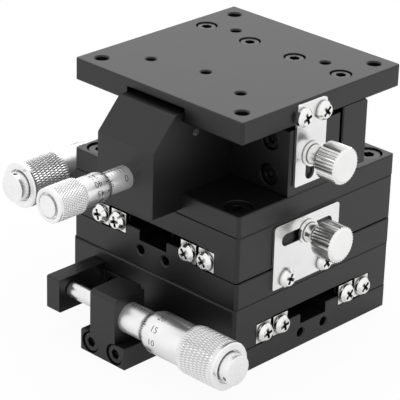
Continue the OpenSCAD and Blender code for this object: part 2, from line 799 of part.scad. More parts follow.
// Knurled thumb screw with its shoulder on the origin's plane and its knob on the +Z side
module thumb_screw() {
    function tooth_r(i) = knob_d / 2 - (i % 2 == 0 ? 0 : knob_tooth);
    rim = 0.5;
    core_r = knob_d / 2 - knob_tooth - 0.1;
    color(steel) translate([0, 0, touch]) {
        translate([0, 0, -thumb_l - clamp_t]) cylinder(d = m3, h = thumb_l + clamp_t + 0.1);
        cylinder(d = shoulder_d, h = shoulder_t);
        cylinder(d = collar_d, h = shoulder_t + collar_l);
        cylinder(d = neck_d, h = neck_l + 0.1);
        translate([0, 0, neck_l + rim]) linear_extrude(knob_l - 2 * rim) polygon([
            for (i = [0 : 2 * knob_teeth - 1])
                let (a = 180 * i / knob_teeth) tooth_r(i) * [cos(a), sin(a)]
        ]);
        translate([0, 0, neck_l]) rotate_extrude() polygon([
            [0, 0], [core_r - rim, 0], [core_r, rim], [core_r, knob_l - rim],
            [core_r - rim, knob_l], [0, knob_l]
        ]);
    }
}

module slide_thumb_screw() {
    translate([clamp_shift, half + clamp_t, clamp_h]) rotate([-90, 0, 0]) thumb_screw();
}

// Return spring: close-wound coil with a loop round a pin at each end, along +X from u0 to u1
module return_spring(u0, u1) {
    loop_r = pin_d / 2 + wire_d / 2 + 0.15;
    color(steel) {
        translate([u0 + loop_r, 0, 0]) rotate([0, 90, 0])
            difference() {
                cylinder(d = spring_d, h = u1 - u0 - 2 * loop_r);
                translate([0, 0, wire_d])
                    cylinder(d = spring_d - 2 * wire_d, h = u1 - u0 - 2 * loop_r - 2 * wire_d);
            }
        for (u = [u0, u1])
            translate([u, 0, 0]) rotate_extrude() translate([loop_r, 0]) circle(d = wire_d);
    }
}

module slide_spring() {
    translate([0, 0, spring_z]) return_spring(table_pin_u, base_pin_u);
}

module base_pin() {
    translate([base_pin_u, 0, seat_z - pin_in]) cylinder(d = pin_d, h = pin_in + rail_h - 0.6);
}

module table_pin() {
    translate([table_pin_u, 0, seat_z + 0.8]) cylinder(d = pin_d, h = rail_h + seam - 0.8 + 3.2);
}

// Bodies of the X slide

module x_base() {
    color(black) difference() {
        slide_base(0);
        slide_base_holes();
        drive_base_holes();
        // Mounting threads in the underside
        at_square(hole_sq) rotate([180, 0, 0]) tapped(m4_tap, mount_depth);
    }
}

module x_inner_rails() { inner_rails(); }
module x_inner_stops() { inner_stops(); }
module x_base_pan_screws() { color(bright) base_pan_screws(); }
module x_base_cap_screws() { color(oxide) bracket_screws(); }
module x_bracket() { bracket(); }
module x_sleeve() { sleeve(); }
module x_clamp_plate() { clamp_plate(); }
module x_spring() { slide_spring(); }
module x_base_pin() { color(steel) base_pin(); }

module x_roller_cages() {
    color(bronze) roller_cages(0, pair_mid, rail_mid, roller_n, roller_pitch);
}

// Bodies between the slides

module middle() {
    color(black) difference() {
        union() {
            slide_table(table_lo, table_hi);
            as_y() slide_base(mid_flange_h - flange_h);
        }
        slide_table_holes();
        drive_table_holes();
        as_y() slide_base_holes();
        as_y_drive() drive_base_holes();
    }
}

module x_outer_rails() { outer_rails(); }
module y_inner_rails() { as_y() inner_rails(); }

module middle_stops() {
    outer_stops();
    as_y() inner_stops();
}

module middle_pan_screws() {
    color(bright) {
        stop_screws(leg_in - rail_w / 2);
        anvil_screws();
        as_y() base_pan_screws();
    }
}

module anvil_screws() {
    for (u = arm_screw_u)
        translate([u, table_lo - arm_flange_proud + arm_screw_sink, (arm_z + flange_top) / 2])
            rotate([90, 0, 0]) pan_screw(pan_l);
}

module middle_cap_screws() { color(oxide) as_y_drive() bracket_screws(); }
module x_anvil() { anvil(); }
module y_bracket() { as_y_drive() bracket(); }
module y_sleeve() { as_y_drive() sleeve(); }
module y_clamp_plate() { as_y() clamp_plate(); }
module y_spring() { as_y() slide_spring(); }

module middle_pins() {
    color(steel) {
        table_pin();
        as_y() base_pin();
    }
}

module y_roller_cages() {
    color(bronze) as_y() roller_cages(0, pair_mid, rail_mid, roller_n, roller_pitch);
}

// Bodies on the Y table

module y_table() {
    color(black) difference() {
        as_y() difference() {
            slide_table(table_lo, table_hi);
            slide_table_holes();
        }
        as_y_drive() drive_table_holes();
        translate([0, 0, z_base_z]) at_square(hole_sq) tapped(m4 + seat_fit, m4_in + 1);
    }
}

module y_outer_rails() { as_y() outer_rails(); }
module y_outer_stops() { as_y() outer_stops(); }

module y_table_pan_screws() {
    color(bright) {
        as_y() stop_screws(leg_in - rail_w / 2);
        as_y_drive() anvil_screws();
    }
}

module y_anvil() { as_y_drive() anvil(); }

module z_base() {
    color(black) difference() {
        plate_block([-half, -half, z_base_z], [half, half, column_z]);
        translate([0, 0, column_z])
            at_square(hole_sq) counterbored(m4 + 0.4, z_base_h + 1, m4_bore, m4_head_h + 0.4);
    }
}

// Fixed column: the vertical slide's outer part, with the outer rails between its legs
module z_column() {
    color(black) difference() {
        intersection() {
            as_z() translate([0, 0, 0]) along_x(column_z, column_z + column_h) polygon(mirrored([
                [0, z_web_w], [z_pair_mid, z_web_w], [z_pair_mid, z_web_w - seam],
                [z_leg_in, z_web_w - seam], [z_leg_in, z_seam], [column_half, z_seam],
                [column_half, column_t + z_seam], [0, column_t + z_seam]
            ]));
            along_x(-column_half, column_half)
                chamfered([-column_front, column_z], [plate_front, column_z + column_h], edge_c);
        }
        // Screws of the outer rails
        for (x = [-1, 1], z = column_screw_z)
            translate([x * column_screw_x, -column_front, z])
                rotate([90, 0, 0]) counterbored(m3 + 0.2, column_t, m3_bore, m3_head_h + 0.4);
        // Room for the push post
        translate([-cavity_half, -column_front - 1, post_z - z_down - 0.8])
            cube([2 * cavity_half, post_y + post_d / 2 + 0.4 + column_front + 1, column_h]);
        // Clamp screw
        translate([column_half, -z_clamp_y, column_z + z_clamp_h])
            rotate([0, 90, 0]) tapped(m3 + run_fit, thumb_l + 1);
        // Spring pin
        as_z() translate([z_pin_low, 0, z_web_w - 0.01])
            cylinder(d = pin_d + seat_fit, h = pin_in + 0.2);
    }
}

// Cap screws that hold the base plate on the Y table and the outer rails on the column
module z_fixed_cap_screws() {
    rail_shank = z_seam + column_t - z_web_w + seam - m3_head_h - 0.4 + 4;
    color(oxide) {
        translate([0, 0, column_z - m4_head_h - 0.4]) at_square(hole_sq)
            cap_screw(m4, m4_head, m4_head_h, m4_hex, z_base_h - m4_head_h - 0.4 + m4_in);
        for (x = [-1, 1], z = column_screw_z)
            translate([x * column_screw_x, -column_front + m3_head_h + 0.4, z])
                rotate([90, 0, 0]) m3_screw(rail_shank);
    }
}

module z_outer_rails() {
    l = column_h - 0.4;
    color(steel) difference() {
        as_z() rails(column_z + column_h / 2, z_leg_in - rail_w / 2, z_rail_mid, l, -1, false);
        for (x = [-1, 1], z = column_screw_z)
            translate([x * column_screw_x, plate_front - z_web_w + seam, z])
                rotate([90, 0, 0]) tapped(m3 + seat_fit, 4.2, 0.1);
    }
}

// Housing of the bell crank, over the base plate's front edge
module z_housing() {
    color(black) difference() {
        along_x(-housing_w / 2, housing_w / 2) polygon([
            [housing_front, column_z - housing_drop], [-half, column_z - housing_drop],
            [-half, column_z], [-column_front, column_z], [-column_front, housing_z],
            [housing_front + slope_l, housing_z], [housing_front, housing_z - slope_h]
        ]);
        // Room for the bell crank, open to the back
        along_x(-cavity_half, cavity_half) polygon([
            [cavity_front, column_z + 1.2], [-column_front + 1, column_z + 1.2],
            [-column_front + 1, housing_z + 1], [post_y - post_d / 2 - 0.5, housing_z + 1],
            [post_y - post_d / 2 - 0.5, cavity_roof], [cavity_front, cavity_roof]
        ]);
        translate([-housing_w, pivot_y, pivot_z])
            rotate([0, 90, 0]) cylinder(d = pivot_d + 0.02, h = 2 * housing_w);
        translate([0, housing_front - 1, z_mic_z])
            rotate([-90, 0, 0]) cylinder(d = z_sleeve_d, h = cavity_front - housing_front + 2);
    }
}

module z_pivot_pin() {
    color(chrome) translate([-housing_w / 2, pivot_y, pivot_z])
        rotate([0, 90, 0]) cylinder(d = pivot_d, h = housing_w);
}

// Bell crank: round noses push on the spindle's tip and under the post
module z_lever() {
    arm = lever_t - 1;
    color(steel) difference() {
        union() {
            along_x(-lever_w / 2, lever_w / 2) translate([pivot_y, pivot_z]) rotate(lever_turn) {
                translate([-arm / 2, -lever_r]) square([arm, lever_r]);
                translate([0, -arm / 2]) square([lever_r, arm]);
                translate([0, -lever_r]) circle(nose_r);
                translate([lever_r, 0]) circle(nose_r);
            }
            along_x(-hub_w / 2, hub_w / 2) translate([pivot_y, pivot_z]) circle(d = hub_d);
        }
        translate([-hub_w, pivot_y, pivot_z])
            rotate([0, 90, 0]) cylinder(d = pivot_d + run_fit, h = 2 * hub_w);
    }
}

module y_table_pins() {
    color(steel) {
        as_y() table_pin();
        as_z() translate([z_pin_low, 0, z_web_w - rail_h + 0.8])
            cylinder(d = pin_d, h = rail_h - 0.8 + pin_in - 0.4);
    }
}

module z_spring() {
    as_z() translate([0, 0, z_web_w / 2 + 0.15]) return_spring(z_pin_low, z_pin_high);
}

module z_roller_cages() {
    low = column_z + z_plate_gap;
    high = column_z + column_h;
    color(bronze) as_z()
        roller_cages((low + high) / 2, z_pair_mid, z_rail_mid, z_roller_n, z_roller_pitch);
}

// Bodies that the vertical slide lifts

module z_plate() {
    low = column_z + z_plate_gap;
    c = 0.9;
    color(black) difference() {
        intersection() {
            as_z() along_x(low, top_z) polygon(mirrored([
                [0, -z_plate_t], [half - edge_c, -z_plate_t], [half, -z_plate_t + edge_c],
                [half, -edge_c], [half - edge_c, 0], [z_pair_mid, 0], [z_pair_mid, seam],
                [z_block_half, seam], [z_block_half, z_block_rise], [notch_w / 2, z_block_rise],
                [notch_w / 2, seam], [0, seam]
            ]));
            along_x(-half, half) polygon([
                [0, low], [plate_front + z_plate_t - edge_c, low],
                [plate_front + z_plate_t, low + edge_c], [plate_front + z_plate_t, top_z - c],
                [plate_front + z_plate_t - c, top_z], [0, top_z]
            ]);
        }
        for (x = top_screw_x)
            translate([x, top_screw_y, top_z]) tapped(m3 + seat_fit, m3_in + 1);
        as_z() translate([z_pin_high, 0, seam]) tapped(pin_d + seat_fit, pin_in + 0.2);
    }
}

module z_inner_rails() {
    low = column_z + z_plate_gap + 0.2;
    high = top_z - 0.2;
    color(steel) as_z()
        rails((low + high) / 2, z_block_half + rail_w / 2, z_rail_mid, high - low, 1, false);
}

module z_top() {
    side = housing_w / 2 + 0.3;
    color(black) difference() {
        plate_block([-half, -half, top_z], [half, half, total_h]);
        // Notch that clears the housing and the post
        translate([-side, -half - 1, top_z - 1])
            cube([2 * side, half + 1 + post_y + post_d / 2 + 0.4, notch_z - top_z + 1]);
        translate([0, 0, total_h]) {
            at_square(hole_sq) tapped(m4_tap, top_h + 1);
            at_square(hole_sq_in) tapped(m3_tap, top_h + 1);
            translate([0, post_y, 0]) tapped(m3_tap, top_h + 1);
            for (x = top_screw_x)
                translate([x, top_screw_y, 0])
                    counterbored(m3 + 0.4, top_h + 1, m3_bore, m3_head_h + 0.3);
        }
        for (y = clamp_screw_y)
            translate([half, y, z_clamp_screw_z])
                rotate([0, 90, 0]) tapped(pan_thread + seat_fit, pan_l);
    }
}

module z_top_cap_screws() {
    color(oxide) for (x = top_screw_x)
        translate([x, top_screw_y, total_h - m3_head_h - 0.3])
            m3_screw(top_h - m3_head_h - 0.3 + m3_in);
}

module z_post() {
    color(steel) translate([0, post_y, post_z]) cylinder(d = post_d, h = notch_z - post_z);
}

module z_clamp_plate() {
    low = z_slot_z - z_slot_l / 2 - 1;
    color(bright) difference() {
        along_x(half, half + clamp_t)
            clamp_outline(
                [-z_clamp_y - z_clamp_w / 2, low], [-z_clamp_y + z_clamp_w / 2, z_clamp_top]
            );
        along_x(half - 1, half + clamp_t + 1) translate([-z_clamp_y, z_slot_z]) {
            square([slot_w, z_slot_l - slot_w], center = true);
            for (s = [-1, 1]) translate([0, s * (z_slot_l - slot_w) / 2]) circle(d = slot_w);
        }
        for (y = clamp_screw_y)
            translate([half - 1, y, z_clamp_screw_z])
                rotate([0, 90, 0]) cylinder(d = pan_thread + 0.3, h = clamp_t + 2);
    }
}

module z_clamp_pan_screws() {
    color(bright) for (i = [0, 1])
        translate([half + clamp_t, clamp_screw_y[i], z_clamp_screw_z])
            rotate([0, 90, 0]) pan_screw(pan_l, 20 + 25 * i);
}

module z_plate_pin() {
    color(steel) as_z() translate([z_pin_high, 0, seam - pin_in])
        cylinder(d = pin_d, h = pin_in + rail_h - 0.6);
}

// Micrometer of the vertical slide, in its own frame: +X towards the cap, origin at its axis

module z_mic() {
    translate([0, 0, z_mic_z]) rotate([0, 0, -90]) children();
}

module z_sleeve() {
    end = z_thimble_u + z_thimble_l - cap_recess - end_wall - z_up - sleeve_gap;
    color(chrome) z_mic() sleeve_tube(z_sleeve_d, z_spindle_d + run_fit, -cavity_front, end);
}

module z_spindle() {
    color(chrome) z_mic()
        spindle_rod(z_spindle_d, -z_tip_y, z_thimble_u + z_thimble_l - cap_recess - 0.1);
}

module z_thimble() {
    color(chrome) z_mic() translate([z_thimble_u, 0, 0])
        thimble_body(z_sleeve_d + 2 * thimble_fit, thimble_lip, z_thimble_d, 2, z_smooth_len,
            z_knurl_d, z_knurl_len, z_cap_d + 1.1, z_spindle_d + run_fit);
}

module z_cap() {
    color(chrome) z_mic() translate([z_thimble_u, 0, 0]) end_cap(z_cap_d, z_cap_out, z_thimble_l);
}

module x_spindle() { spindle(); }
module y_spindle() { as_y_drive() spindle(); }
module x_thimble() { thimble(); }
module y_thimble() { as_y_drive() thimble(); }
module x_cap() { cap(108); }
module y_cap() { as_y_drive() cap(-6); }
module x_thumb_screw() { slide_thumb_screw(); }
module y_thumb_screw() { as_y() slide_thumb_screw(); }

module z_thumb_screw() {
    translate([half + clamp_t, -z_clamp_y, column_z + z_clamp_h]) rotate([0, 90, 0]) thumb_screw();
}

x_base();
x_inner_rails();
x_inner_stops();
x_base_pan_screws();
x_base_cap_screws();
x_bracket();
x_sleeve();
x_clamp_plate();
x_spring();
x_base_pin();
x_roller_cages();
middle();
x_outer_rails();
y_inner_rails();
middle_stops();
middle_pan_screws();
middle_cap_screws();
x_anvil();
y_bracket();
y_sleeve();
y_clamp_plate();
y_spring();
middle_pins();
y_roller_cages();
y_table();
y_outer_rails();
y_outer_stops();
y_table_pan_screws();
y_anvil();
z_base();
z_fixed_cap_screws();
z_column();
z_outer_rails();
z_housing();
z_pivot_pin();
z_sleeve();
z_spring();
y_table_pins();
z_roller_cages();
z_plate();
z_inner_rails();
z_top();
z_top_cap_screws();
z_post();
z_clamp_plate();
z_clamp_pan_screws();
z_plate_pin();
z_lever();
x_spindle();
y_spindle();
z_spindle();
x_thimble();
y_thimble();
z_thimble();
x_cap();
y_cap();
z_cap();
x_thumb_screw();
y_thumb_screw();
z_thumb_screw();
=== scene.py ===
import math

import bmesh
import bpy
from mathutils import Matrix, Vector


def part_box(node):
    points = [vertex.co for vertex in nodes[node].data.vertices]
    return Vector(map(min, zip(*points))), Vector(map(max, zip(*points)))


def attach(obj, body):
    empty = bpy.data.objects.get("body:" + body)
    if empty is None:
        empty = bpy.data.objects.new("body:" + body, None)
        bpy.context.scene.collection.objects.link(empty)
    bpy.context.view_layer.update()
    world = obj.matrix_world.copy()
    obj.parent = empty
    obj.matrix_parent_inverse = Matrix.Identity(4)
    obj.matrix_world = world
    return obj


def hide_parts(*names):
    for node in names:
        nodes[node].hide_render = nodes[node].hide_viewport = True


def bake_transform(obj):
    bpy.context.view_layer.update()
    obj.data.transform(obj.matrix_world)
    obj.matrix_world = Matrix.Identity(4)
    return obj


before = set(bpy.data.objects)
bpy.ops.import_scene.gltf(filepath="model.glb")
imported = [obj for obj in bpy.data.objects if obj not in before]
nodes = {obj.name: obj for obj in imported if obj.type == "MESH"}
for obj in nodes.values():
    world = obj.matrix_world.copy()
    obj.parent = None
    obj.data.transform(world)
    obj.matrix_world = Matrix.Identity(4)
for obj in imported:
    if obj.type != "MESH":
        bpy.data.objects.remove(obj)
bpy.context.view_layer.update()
MM = 0.001

# Camera, fitted to the photograph: angles in degrees, focal length and width in its pixels
AZIMUTH = 43.683
ELEVATION = 24.716
ROLL = 1.682
CAMERA_MM = (348.63, -377.83, 267.0)
FOCAL_PX = 2116.8
PHOTO_PX = 400
SENSOR_MM = 36

# Sizes of the micrometer heads in millimetres. Barrel, ring, recess and sleeve are the part's own.
# The bore lies closer to the sleeve than there and the front taper of X and Y is longer; the
# knurl's teeth, the ticks and the numbers are made only here. "start" (the thimble's front edge),
# "sleeve_from" (the long line's) and "zero" are places along the head's axis, and the thimble's
# ticks and numbers are measured from its front edge.
XY = dict(
    bore=8.16, lip=0.1, barrel=11.3, bevel=3.5, smooth=15.5, start=12.0,
    ring=13.0, ring_l=12.7, recess=8.8, shaft=4.4,
    around=58, levels=9, tooth=0.25,
    sleeve=8.1, sleeve_from=4.7, zero=5.7, scale_mm=13, zero_off=2.6,
    digit=1.8, digit_at=4.85,
    tick_from=0.9, tick_short=2.15, tick_long=2.85, tick_w=0.25,
)
Z = dict(
    bore=6.16, lip=0.37, barrel=7.8, bevel=2.0, smooth=9.0, start=47.9,
    ring=9.3, ring_l=9.3, recess=6.8, shaft=3.6,
    around=42, levels=14, tooth=0.18,
    sleeve=6.1, sleeve_from=40.4, zero=42.2, scale_mm=7, zero_off=3.65,
    digit=1.8, digit_at=3.0,
    tick_from=0.05, tick_short=0.95, tick_long=1.9, tick_w=0.24,
)

# Details of a thimble's shell
LATHE_STEPS = 96
SHELL_SMOOTH = 25
FRONT_EDGE = 0.08
NECK_DEPTH = 0.3
NECK_FROM = 0.55
NECK_TO = 0.4
CORE_UNDER_TEETH = 0.15
CORE_FROM = 0.1
RIM_WIDTH = 0.7
RIM_DROP = 0.12
RIM_CHAMFER_U = 0.3
RIM_CHAMFER_R = 0.4
RECESS_CHAMFER = 0.15
CAP_RECESS = 1.0
SHAFT_HOLE = 4

# The knurl's peaks stay a little inside the ring's radius, and its inner side inside the core
KNURL_STOP = 0.65
PEAK_DROP = 0.003
KNURL_UNDER_CORE = 0.3

# Marks
DIVISIONS = 50
NUMBER_EVERY = 5
PHASE_DIVISION = 20
INK_LIFT = 0.012
DIGIT_CUTS = 6
DIGIT_SHARE = 0.73
DIGIT_THINNER = -0.012
DIGIT_CURVE_STEPS = 3
LINE_W = 0.14
LINE_PAST_SCALE = 0.3
LINE_PIECES = 12
MARK_W = 0.12
MARK_FIVE_MM = 1.9
MARK_MM = 1.6
MARK_HALF_MM = 1.0
HALF_MM_PER_NUMBER = 10
NUMBER_BACK = 0.4

# Frames of the heads: the first axis runs from the bracket to the end cap, the third one up
MIC_FRAMES = {
    "x": Matrix(((1, 0, 0, 0), (0, 1, 0, -42.5), (0, 0, 1, 12.4), (0, 0, 0, 1))),
    "y": Matrix(((0, 1, 0, -42.5), (-1, 0, 0, 1.8), (0, 0, 1, 32.4), (0, 0, 0, 1))),
    "z": Matrix(((0, 1, 0, 0), (-1, 0, 0, 0), (0, 0, 1, 49.6), (0, 0, 0, 1))),
}
# Where division 20 stands round the thimble, in degrees: 0 on the side away from the frame's
# second axis, 90 on top
PHASE = {"x": 73.5, "y": 30.0, "z": -4.0}

# Return springs
WIRE_R = 0.25
WIRE_SIDES = 6
COIL_SMOOTH = 60
SPRING_R = 2.0
LOOP_R = 1.4
LOOP_DEGREES = 300
ARC_STEPS = 14
TURN_GAP = 0.01
PIN_IN = 1.65
TRAVEL_XY = 13.0
Z_BELOW_REST = 0.9

# Stage and light: 1 is white
FLOOR_GREY = 0.92
FLOOR_ROUGHNESS = 0.9
FLOOR_GLOW = 0.94
FLOOR_MIRRORED = 0.4
HALF_FLOOR = 1500
SKY_LIGHT = 0.85
AIM = Vector((0, 0, 0.04))


# ---- materials

BLACK_IOR = 1.53
EDGE_SAMPLES = 4
OPENNESS_SAMPLES = 6
# Scales of the uneven colour, and of the rollers' grinding marks
BLACK_CLOUDS = 70
METAL_CLOUDS = 180
ROLLER_MARKS = 1800
DETAIL = 3
# Depths of the fine relief, in metres
BLACK_RELIEF = 0.00002
METAL_RELIEF = 0.000005
ROLLER_RELIEF = 0.00001


def new_material(name):
    mat = bpy.data.materials.new(name)
    mat.use_nodes = True
    tree = mat.node_tree
    return mat, tree, tree.nodes["Principled BSDF"]


def add(tree, kind, **values):
    node = tree.nodes.new(kind)
    for key, value in values.items():
        setattr(node, key, value)
    return node


def grey(level):
    return (level, level, level)


def position(tree, scale=(1, 1, 1)):
    coord = add(tree, "ShaderNodeTexCoord")
    mapping = add(tree, "ShaderNodeMapping")
    mapping.inputs["Scale"].default_value = scale
    tree.links.new(coord.outputs["Object"], mapping.inputs["Vector"])
    return mapping.outputs["Vector"]


def noise(tree, vector, scale, detail=DETAIL):
    node = add(tree, "ShaderNodeTexNoise")
    node.inputs["Scale"].default_value = scale
    node.inputs["Detail"].default_value = detail
    tree.links.new(vector, node.inputs["Vector"])
    return node.outputs["Fac"]


def remap(tree, value, low, high, start=0.35, end=0.65):
    """Value from start..end stretched to low..high; the defaults suit a noise."""
    node = add(tree, "ShaderNodeMapRange")
    ends = {"From Min": start, "From Max": end, "To Min": low, "To Max": high}
    for key, number in ends.items():
        node.inputs[key].default_value = number
    tree.links.new(value, node.inputs["Value"])
    return node.outputs["Result"]


def mix_colour(tree, factor, one, two):
    node = add(tree, "ShaderNodeMix", data_type="RGBA")
    node.inputs["A"].default_value = (*one, 1)
    node.inputs["B"].default_value = (*two, 1)
    tree.links.new(factor, node.inputs["Factor"])
    return node.outputs["Result"]


def soft_edges(tree, radius):
    node = add(tree, "ShaderNodeBevel", samples=EDGE_SAMPLES)
    node.inputs["Radius"].default_value = radius
    return node.outputs["Normal"]


def bump(tree, bsdf, height, distance, strength, edge=None):
    node = add(tree, "ShaderNodeBump")
    node.inputs["Strength"].default_value = strength
    node.inputs["Distance"].default_value = distance
    tree.links.new(height, node.inputs["Height"])
    if edge:
        tree.links.new(soft_edges(tree, edge), node.inputs["Normal"])
    tree.links.new(node.outputs["Normal"], bsdf.inputs["Normal"])


def black_finish(name, tone, rough, grain, edge=0.0003):
    """Dyed black surface: fine blasted grain, slightly uneven colour and sheen."""
    mat, tree, bsdf = new_material(name)
    bsdf.inputs["IOR"].default_value = BLACK_IOR
    low, high = tone
    broad = noise(tree, position(tree), BLACK_CLOUDS)
    fine = noise(tree, position(tree), grain)
    colour = mix_colour(
        tree, remap(tree, broad, 0, 1), (low, low, low * 1.04), (high, high, high * 1.03)
    )
    tree.links.new(colour, bsdf.inputs["Base Color"])
    tree.links.new(remap(tree, fine, *rough), bsdf.inputs["Roughness"])
    bump(tree, bsdf, fine, BLACK_RELIEF, 0.2, edge)
    return mat


def openness(tree, reach, closed, opened):
    """Painted shade from ambient occlusion: closed in a recess or against a wall, opened on a free
    face.
    """
    node = add(tree, "ShaderNodeAmbientOcclusion", samples=OPENNESS_SAMPLES)
    node.inputs["Distance"].default_value = reach
    return remap(tree, node.outputs["AO"], 0, 1, closed, opened)


def metal(name, colour, rough, grain=(1, 1, 1), scale=2500, strength=0.05, edge=0.0001,
          painted_shade_grey=0.05, reach=0.0008, closed=0.3, opened=0.75, metallic=1.0):
    """Bare or plated metal: machining marks drawn out along the axes where the grain is small,
    and shade painted into its colour as a darker grey in its recesses."""
    mat, tree, bsdf = new_material(name)
    bsdf.inputs["Metallic"].default_value = metallic
    marks = noise(tree, position(tree, grain), scale)
    cloud = noise(tree, position(tree), METAL_CLOUDS, detail=2)
    shade = tuple(c * 0.95 for c in colour)
    clean = mix_colour(tree, remap(tree, cloud, 0, 1), shade, colour)
    # Painted shade: the clean colour darkens towards a grey where walls stand near.
    shaded_colour = mix_colour(tree, openness(tree, reach, closed, opened), grey(painted_shade_grey), colour)
    tree.links.new(clean, shaded_colour.node.inputs["B"])
    tree.links.new(shaded_colour, bsdf.inputs["Base Color"])
    tree.links.new(remap(tree, marks, *rough), bsdf.inputs["Roughness"])
    bump(tree, bsdf, marks, METAL_RELIEF, strength, edge)
    return mat


BRONZE = (0.62, 0.43, 0.2)
ROLLER_STEEL = (0.7, 0.7, 0.71)
HALF_CAGE = 0.00021


def roller_bronze(name, axis, centre):
    """Bronze cage strips with hardened steel rollers standing out of them. The strips' middles lie
    at the centre's distance to either side of the slide's middle."""
    mat, tree, bsdf = new_material(name)
    bsdf.inputs["Metallic"].default_value = 1.0
    split = add(tree, "ShaderNodeSeparateXYZ")
    tree.links.new(position(tree), split.inputs["Vector"])
    across = split.outputs[axis]
    steps = (("ABSOLUTE", 0), ("SUBTRACT", centre), ("ABSOLUTE", 0), ("GREATER_THAN", HALF_CAGE))
    for operation, number in steps:
        step = add(tree, "ShaderNodeMath", operation=operation)
        step.inputs[1].default_value = number
        tree.links.new(across, step.inputs[0])
        across = step.outputs[0]
    colour = mix_colour(tree, across, BRONZE, ROLLER_STEEL)
    tree.links.new(colour, bsdf.inputs["Base Color"])
    marks = noise(tree, position(tree), ROLLER_MARKS)
    tree.links.new(remap(tree, marks, 0.2, 0.34), bsdf.inputs["Roughness"])
    bump(tree, bsdf, marks, ROLLER_RELIEF, 0.1)
    return mat


CHROME = grey(0.97)
SPINDLE = grey(0.9)
STAINLESS = grey(0.88)
NICKEL = (0.93, 0.93, 0.92)
STEEL = (0.4, 0.4, 0.41)
# Darker than bright ground steel: painted shade for the rails in their dark gaps; the spring wire
# takes the same grey.
DARK_STEEL = (0.3, 0.3, 0.31)

# Turning marks run round a head, and brushing along a plate
ROUND_X = (1, 0.02, 0.02)
ROUND_Y = (0.02, 1, 0.02)
BRUSHED_Y = (1, 0.02, 1)
BRUSHED_X = (0.02, 1, 1)
ALONG_RAILS = (0.05, 0.05, 1)

anodised = black_finish("anodised_black", tone=(0.0025, 0.004), rough=(0.36, 0.42), grain=4200)
oxide = black_finish(
    "black_oxide", tone=(0.0025, 0.0045), rough=(0.24, 0.32), grain=3000, edge=0.0002
)
ink = black_finish("engraved_ink", tone=(0.006, 0.012), rough=(0.7, 0.8), grain=5000, edge=None)

# Painted shade on the chrome heads: their colour darkens towards a light grey in deep recesses.
satin = dict(scale=1500, strength=0, edge=None, closed=0.0, opened=0.3, painted_shade_grey=0.7)
barrel_x = metal("bright_chrome_x", CHROME, (0.26, 0.27), ROUND_X, metallic=0.9, **satin)
barrel_y = metal("bright_chrome_y", CHROME, (0.28, 0.31), ROUND_Y, metallic=0.85, **satin)
sleeve_x = metal("satin_chrome_x", CHROME, (0.35, 0.38), ROUND_X, metallic=0.8, **satin)
sleeve_y = metal("satin_chrome_y", CHROME, (0.32, 0.35), ROUND_Y, metallic=0.65, **satin)
# Painted shade at the caps and spindles: the colour darkens towards a dark grey near walls.
cap_face = metal(
    "turned_cap", CHROME, (0.24, 0.28), scale=1500, strength=0, reach=0.0005, opened=0.95,
    metallic=0.75,
)
polished = metal(
    "polished_spindle", SPINDLE, (0.22, 0.26), scale=1500, strength=0, edge=None, reach=0.0005
)
# Painted shade in the knurl's grooves: the colour darkens towards a dark grey there.
knurled = metal(
    "knurled_chrome", CHROME, (0.27, 0.3), strength=0, painted_shade_grey=0.12, reach=0.0003, closed=0.45,
    opened=0.95, metallic=0.75,
)
# Painted shade on the clamp plates: the colour darkens towards a dark grey near screw heads and
# walls.
sheet = dict(scale=900, strength=0.02, edge=0.00015, closed=0.2, opened=0.5)
plate_y = metal("stainless_plate_y", STAINLESS, (0.18, 0.22), BRUSHED_Y, **sheet)
plate_x = metal("stainless_plate_x", STAINLESS, (0.18, 0.22), BRUSHED_X, **sheet)
# Painted shade in the screws' recesses and the knobs' flutes: the colour darkens towards near black
# there.
nickel = metal(
    "bright_nickel", NICKEL, (0.16, 0.2), scale=900, strength=0, edge=0.00015, painted_shade_grey=0.03,
    reach=0.0009, closed=0.45, opened=0.9,
)
knob = metal(
    "knurled_nickel", NICKEL, (0.2, 0.24), scale=900, strength=0, edge=None, painted_shade_grey=0.015,
    reach=0.0007, closed=0.5, opened=0.8,
)
# Strong painted shade for parts mostly hidden inside: the colour darkens to near black over a long
# reach.
strong_painted_shade = dict(painted_shade_grey=0.01, reach=0.006, closed=0.5, opened=1.0)
steel = metal("plain_steel", STEEL, (0.24, 0.34), **strong_painted_shade)
ground = metal("ground_rail_steel", DARK_STEEL, (0.2, 0.3), ALONG_RAILS, **strong_painted_shade)
spring_wire = metal("spring_wire", DARK_STEEL, (0.2, 0.3), **strong_painted_shade)
cage_y = roller_bronze("cage_bronze_x_slide", "Y", 0.016)
cage_x = roller_bronze("cage_bronze_y_slide", "X", 0.016)
cage_z = roller_bronze("cage_bronze_z_slide", "X", 0.02)

NODE_FINISH = {
    anodised: [
        "x_base", "x_bracket", "middle", "x_anvil", "y_bracket", "y_table", "y_anvil", "z_base",
        "z_column", "z_housing", "z_plate", "z_top",
    ],
    oxide: ["x_base_cap_screws", "middle_cap_screws", "z_fixed_cap_screws", "z_top_cap_screws"],
    sleeve_x: ["x_sleeve"],
    sleeve_y: ["y_sleeve", "z_sleeve"],
    cap_face: ["x_cap", "y_cap", "z_cap"],
    polished: ["x_spindle", "y_spindle", "z_spindle"],
    plate_x: ["x_clamp_plate"],
    plate_y: ["y_clamp_plate", "z_clamp_plate"],
    nickel: [
        "x_base_pan_screws", "middle_pan_screws", "y_table_pan_screws", "z_clamp_pan_screws",
        "x_inner_stops", "middle_stops", "y_outer_stops",
    ],
    knob: ["x_thumb_screw", "y_thumb_screw", "z_thumb_screw"],
    ground: [
        "x_inner_rails", "x_outer_rails", "y_inner_rails", "y_outer_rails", "z_outer_rails",
        "z_inner_rails",
    ],
    steel: [
        "x_base_pin", "middle_pins", "y_table_pins", "z_plate_pin", "z_pivot_pin", "z_post",
        "z_lever",
    ],
    cage_y: ["x_roller_cages"],
    cage_x: ["y_roller_cages"],
    cage_z: ["z_roller_cages"],
}
